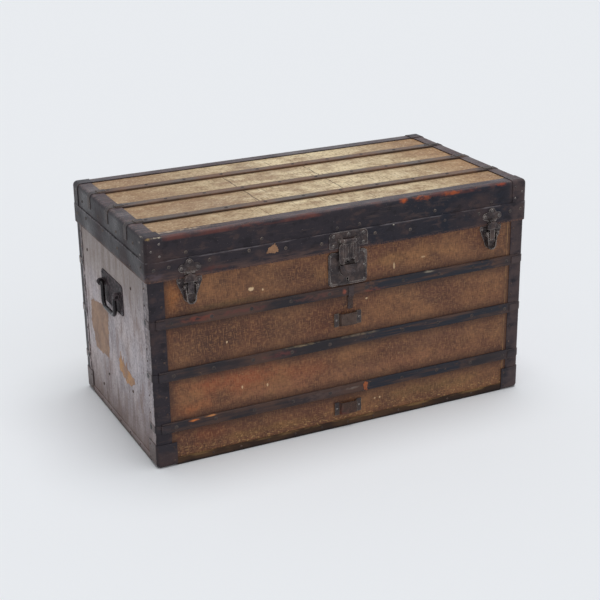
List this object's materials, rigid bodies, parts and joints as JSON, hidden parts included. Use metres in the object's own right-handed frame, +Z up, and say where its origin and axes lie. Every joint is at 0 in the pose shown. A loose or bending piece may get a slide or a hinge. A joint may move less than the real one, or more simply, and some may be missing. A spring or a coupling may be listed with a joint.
{
  "type": "travelling trunk",
  "caption": "Flat topped canvas trunk with wooden slats, hinged lid, hasp lock, draw bolts and drop handles, for packing and carrying goods.",
  "frame": {"origin": "middle of the bottom board's underside, at floor level", "axes": "+X to the right end seen from the front, +Y to the hinges at the back, +Z up"},
  "size_m": [0.892, 0.4892, 0.4897],
  "materials": {
    "board_wood": "bare softwood",
    "slat_wood": "dark worn paint",
    "front_canvas": "rust brown painted canvas",
    "end_canvas": "grey painted canvas",
    "lid_canvas": "straw coloured canvas",
    "lining": "paper faced cloth",
    "binding_fibre": "black painted fibre board",
    "band_fibre": "black painted fibre board",
    "black_iron": "worn black japan",
    "cap_iron": "worn black japan",
    "cast_handle": "black cast iron",
    "strap_leather": "old brown strap leather",
    "pin_steel": "dull steel"
  },
  "bodies": {
    "base": {"bottom_board": "board_wood", "front_board": "board_wood", "back_board": "board_wood", "left_end_board": "board_wood", "right_end_board": "board_wood", "front_canvas": "front_canvas", "back_canvas": "front_canvas", "left_end_canvas": "end_canvas", "right_end_canvas": "end_canvas", "corner_bindings": "binding_fibre", "bottom_bindings": "binding_fibre", "bottom_corner_caps": "cap_iron", "base_lining": "lining", "rim_lips": "board_wood", "front_slat_lower": "slat_wood", "front_slat_middle": "slat_wood", "front_slat_upper": "slat_wood", "back_slats": "slat_wood", "base_slat_clamps": "black_iron", "strap_keeper_upper": "strap_leather", "strap_keeper_lower": "strap_leather", "keeper_end_caps": "black_iron", "hinge_base_leaves": "black_iron", "hinge_pins": "pin_steel", "lock_plate": "black_iron", "lock_case": "pin_steel", "left_latch_plate": "black_iron", "right_latch_plate": "black_iron", "left_handle_plate": "cast_handle", "right_handle_plate": "cast_handle"},
    "lid": {"lid_top_board": "board_wood", "lid_front_rail": "board_wood", "lid_back_rail": "board_wood", "lid_left_rail": "board_wood", "lid_right_rail": "board_wood", "lid_canvas": "lid_canvas", "lid_lining": "lining", "lid_edge_bindings": "binding_fibre", "lid_front_band": "band_fibre", "lid_back_band": "band_fibre", "lid_left_band": "band_fibre", "lid_right_band": "band_fibre", "lid_corner_caps": "cap_iron", "top_slat_front": "slat_wood", "top_slat_middle": "slat_wood", "top_slat_back": "slat_wood", "lid_slat_clamps": "black_iron", "hinge_lid_leaves": "black_iron", "hasp_plate": "black_iron", "hasp_pin": "pin_steel", "left_latch_catch": "black_iron", "right_latch_catch": "black_iron"},
    "hasp": {"hasp": "black_iron"},
    "lock_bolt": {"lock_bolt": "pin_steel"},
    "left_lever": {"left_latch_lever": "black_iron"},
    "right_lever": {"right_latch_lever": "black_iron"},
    "left_link": {"left_latch_link": "black_iron"},
    "right_link": {"right_latch_link": "black_iron"},
    "left_bail": {"left_handle_bail": "cast_handle"},
    "right_bail": {"right_handle_bail": "cast_handle"}
  },
  "joints": [
    {"name": "lid_hinge", "type": "hinge", "parent": "base", "child": "lid", "pos_m": [0, 0.2379, 0.398], "axis": [-1, 0, 0], "range_deg": [0, 100]},
    {"name": "hasp_hinge", "type": "hinge", "parent": "lid", "child": "hasp", "pos_m": [0, -0.2385, 0.42], "axis": [-1, 0, 0], "range_deg": [0, 170]},
    {"name": "lock_bolt_slide", "type": "slide", "parent": "base", "child": "lock_bolt", "axis": [-1, 0, 0], "range_m": [0, 0.009]},
    {"name": "left_lever_hinge", "type": "hinge", "parent": "base", "child": "left_lever", "pos_m": [-0.345, -0.2365, 0.38], "axis": [-1, 0, 0], "range_deg": [0, 120]},
    {"name": "left_link_hinge", "type": "hinge", "parent": "left_lever", "child": "left_link", "pos_m": [-0.345, -0.2364, 0.365], "axis": [-1, 0, 0], "range_deg": [-144, 0]},
    {"name": "left_bail_hinge", "type": "hinge", "parent": "base", "child": "left_bail", "pos_m": [-0.439, 0, 0.313], "axis": [0, 1, 0], "range_deg": [0, 180]},
    {"name": "right_lever_hinge", "type": "hinge", "parent": "base", "child": "right_lever", "pos_m": [0.345, -0.2365, 0.38], "axis": [-1, 0, 0], "range_deg": [0, 120]},
    {"name": "right_link_hinge", "type": "hinge", "parent": "right_lever", "child": "right_link", "pos_m": [0.345, -0.2364, 0.365], "axis": [-1, 0, 0], "range_deg": [-144, 0]},
    {"name": "right_bail_hinge", "type": "hinge", "parent": "base", "child": "right_bail", "pos_m": [0.439, 0, 0.313], "axis": [0, -1, 0], "range_deg": [0, 180]}
  ],
  "couplings": [
    {"joint": "left_link_hinge", "follows": "left_lever_hinge", "ratio": -1.2},
    {"joint": "right_link_hinge", "follows": "right_lever_hinge", "ratio": -1.2}
  ]
}
